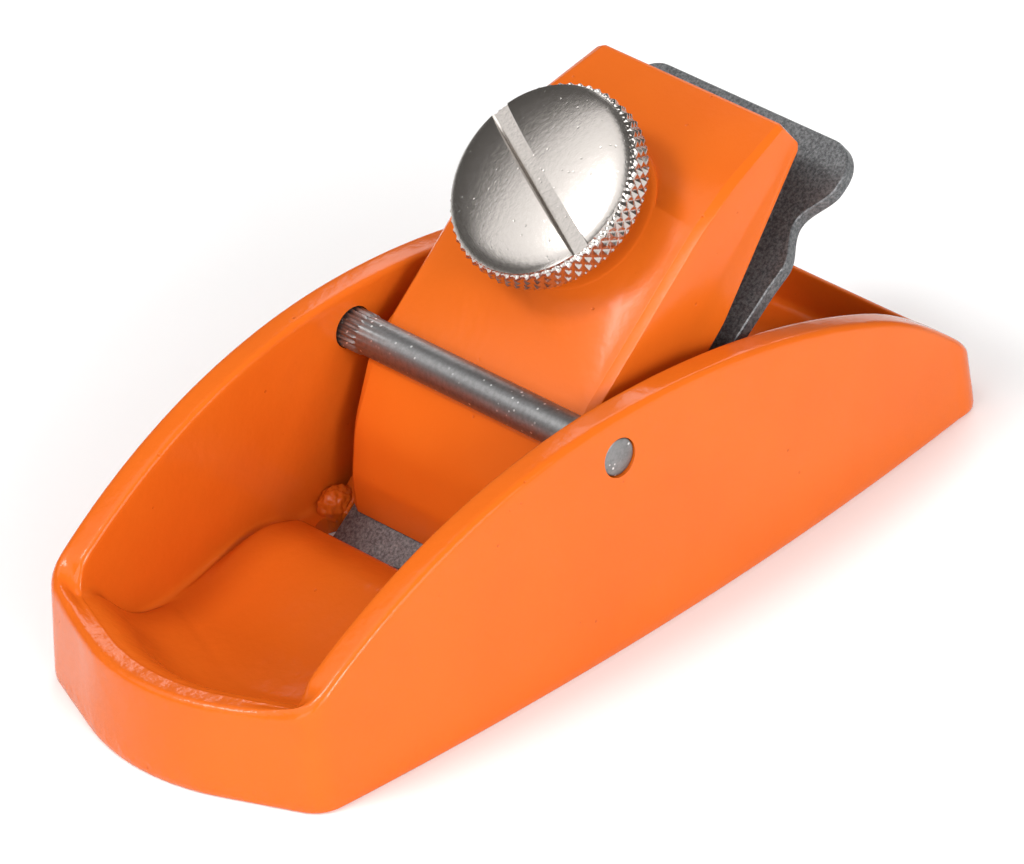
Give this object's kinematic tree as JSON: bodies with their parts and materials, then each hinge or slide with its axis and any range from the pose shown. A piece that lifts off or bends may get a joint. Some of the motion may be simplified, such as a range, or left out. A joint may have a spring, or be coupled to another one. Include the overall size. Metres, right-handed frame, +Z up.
{
  "type": "hand plane",
  "caption": "Miniature block plane: boat-shaped enamelled cast body, sloping blade under a lever cap, cross pin and knurled thumbscrew.",
  "frame": {"origin": "on the flat sole, half way across, 44.45 mm behind the toe and 43.45 mm ahead of the heel", "axes": "+X runs forward to the toe, +Y to the plane's left side, +Z up from the sole"},
  "size_m": [0.0879, 0.0378, 0.0396],
  "materials": {
    "enamel_casting": "glossy orange enamel over a slightly rough casting",
    "enamel_cap": "glossy orange enamel, smoother than the body",
    "pin_steel": "plain drawn steel, satin, slightly gritty",
    "plated_steel": "bright nickel plate, knurled rim",
    "blade_steel": "finely granular ground steel, mid grey"
  },
  "bodies": {
    "body": {"plane_body": "enamel_casting", "cross_pin": "pin_steel"},
    "blade": {"blade": "blade_steel"},
    "lever_cap": {"lever_cap": "enamel_cap"},
    "thumb_screw": {"thumb_screw": "plated_steel"}
  },
  "joints": [
    {"name": "blade_slide", "type": "slide", "parent": "body", "child": "blade", "axis": [0.8171, 0, -0.5764], "range_m": [-0.008, 0.0006]},
    {"name": "screw_turn", "type": "hinge", "parent": "body", "child": "thumb_screw", "pos_m": [-0.01044, 0, 0.02892], "axis": [0.6252, 0, 0.7804], "range_deg": [0, 180]},
    {"name": "cap_tilt", "type": "hinge", "parent": "body", "child": "lever_cap", "pos_m": [0.0034, 0, 0.018], "axis": [0, 1, 0], "range_deg": [-1.35, 0]}
  ],
  "couplings": [
    {"joint": "cap_tilt", "follows": "screw_turn", "ratio": -0.007226}
  ]
}
